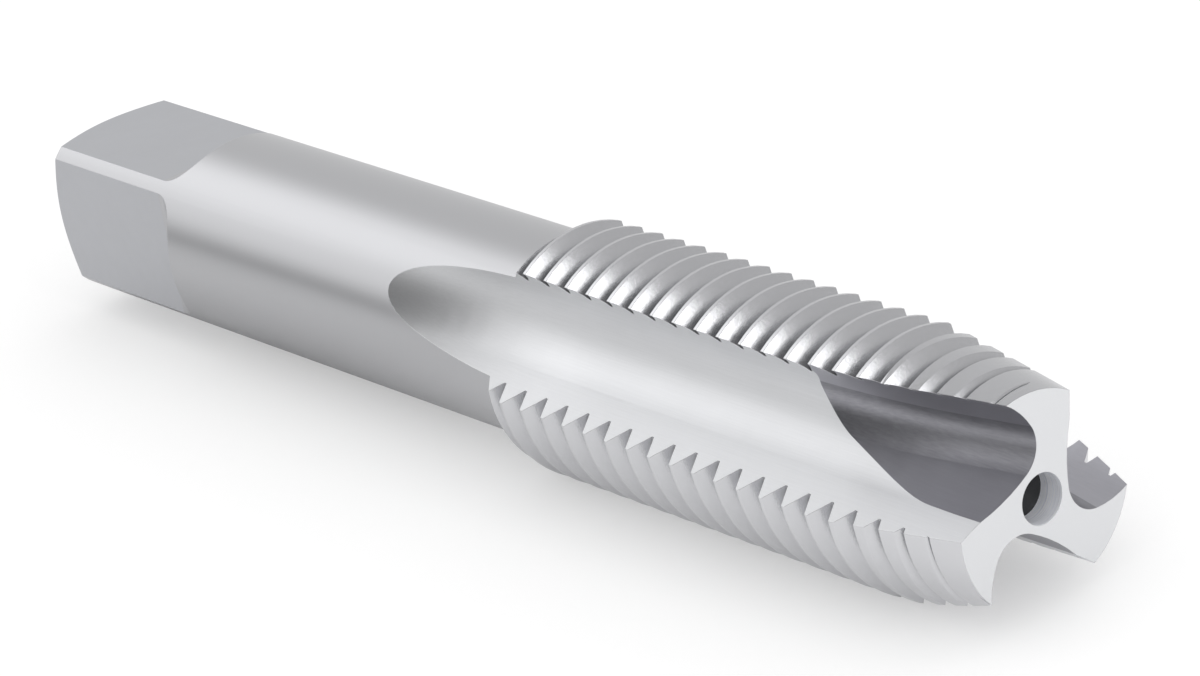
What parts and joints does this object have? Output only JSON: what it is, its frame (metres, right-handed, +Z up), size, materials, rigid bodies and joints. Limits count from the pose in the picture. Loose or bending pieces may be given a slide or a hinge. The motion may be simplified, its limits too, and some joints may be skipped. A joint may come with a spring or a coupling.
{
  "type": "thread tap",
  "caption": "Straight-flute tap with a spiral-point grind and a plug chamfer, which cuts an internal thread; round shank with a driving square.",
  "frame": {"origin": "on the surface the tap lies on, under the middle of its bounding box", "axes": "+X along the tap's axis towards the cutting end, +Z up"},
  "size_m": [0.114, 0.02, 0.0187],
  "materials": {
    "steel": "ground high-speed steel, uncoated, with a satin sheen"
  },
  "bodies": {
    "root": {"tap": "steel"}
  },
  "joints": []
}
